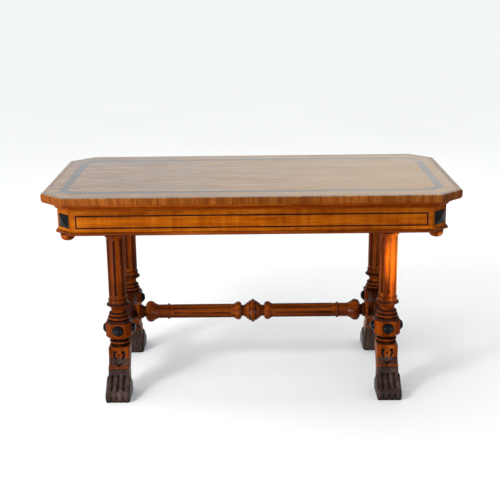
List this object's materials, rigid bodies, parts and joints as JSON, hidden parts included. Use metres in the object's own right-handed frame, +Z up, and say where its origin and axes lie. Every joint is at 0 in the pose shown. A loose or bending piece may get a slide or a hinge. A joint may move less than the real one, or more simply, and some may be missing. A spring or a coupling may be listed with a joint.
{
  "type": "centre table",
  "caption": "Low centre table with a canted inlaid top and frieze on fluted turned columns, carved paw feet and a turned stretcher.",
  "frame": {"origin": "on the floor under the middle of the top", "axes": "+X along the length of the table, +Y from its front to its back, +Z up"},
  "size_m": [1.025, 0.54, 0.55],
  "materials": {
    "satinwood": "amber figured wood, varnished",
    "edge_wood": "cross-grained edging, varnished",
    "turned_wood": "red-brown turned wood, French polished",
    "ebony": "black inlay and bosses, polished",
    "foot_wood": "carved wood, darkened and worn pale at the toes",
    "secondary_wood": "plain unpolished timber inside the frieze",
    "screw_steel": "dull steel"
  },
  "bodies": {
    "root": {"top_board": "satinwood", "top_band": "ebony", "lipping_longs": "edge_wood", "lipping_ends": "edge_wood", "lipping_corners": "edge_wood", "cove_longs": "satinwood", "cove_ends": "satinwood", "cove_corners": "satinwood", "bead_longs": "satinwood", "bead_ends": "satinwood", "bead_corners": "satinwood", "apron_front": "satinwood", "stringing_front": "ebony", "apron_back": "satinwood", "stringing_back": "ebony", "apron_left": "satinwood", "stringing_left": "ebony", "apron_right": "satinwood", "stringing_right": "ebony", "corner_piece_front_left": "satinwood", "corner_panel_front_left": "ebony", "pendant_front_left": "turned_wood", "corner_piece_front_right": "satinwood", "corner_panel_front_right": "ebony", "pendant_front_right": "turned_wood", "corner_piece_back_left": "satinwood", "corner_panel_back_left": "ebony", "pendant_back_left": "turned_wood", "corner_piece_back_right": "satinwood", "corner_panel_back_right": "ebony", "pendant_back_right": "turned_wood", "bearer_left": "secondary_wood", "bearer_right": "secondary_wood", "top_screws": "screw_steel", "glue_blocks": "secondary_wood", "column_front_left": "turned_wood", "block_front_left": "turned_wood", "bosses_front_left": "ebony", "collar_front_left": "turned_wood", "foot_front_left": "foot_wood", "column_front_right": "turned_wood", "block_front_right": "turned_wood", "bosses_front_right": "ebony", "collar_front_right": "turned_wood", "foot_front_right": "foot_wood", "column_back_left": "turned_wood", "block_back_left": "turned_wood", "bosses_back_left": "ebony", "collar_back_left": "turned_wood", "foot_back_left": "foot_wood", "column_back_right": "turned_wood", "block_back_right": "turned_wood", "bosses_back_right": "ebony", "collar_back_right": "turned_wood", "foot_back_right": "foot_wood", "cross_rail_left": "turned_wood", "cross_rail_right": "turned_wood", "stretcher": "turned_wood"}
  },
  "joints": []
}
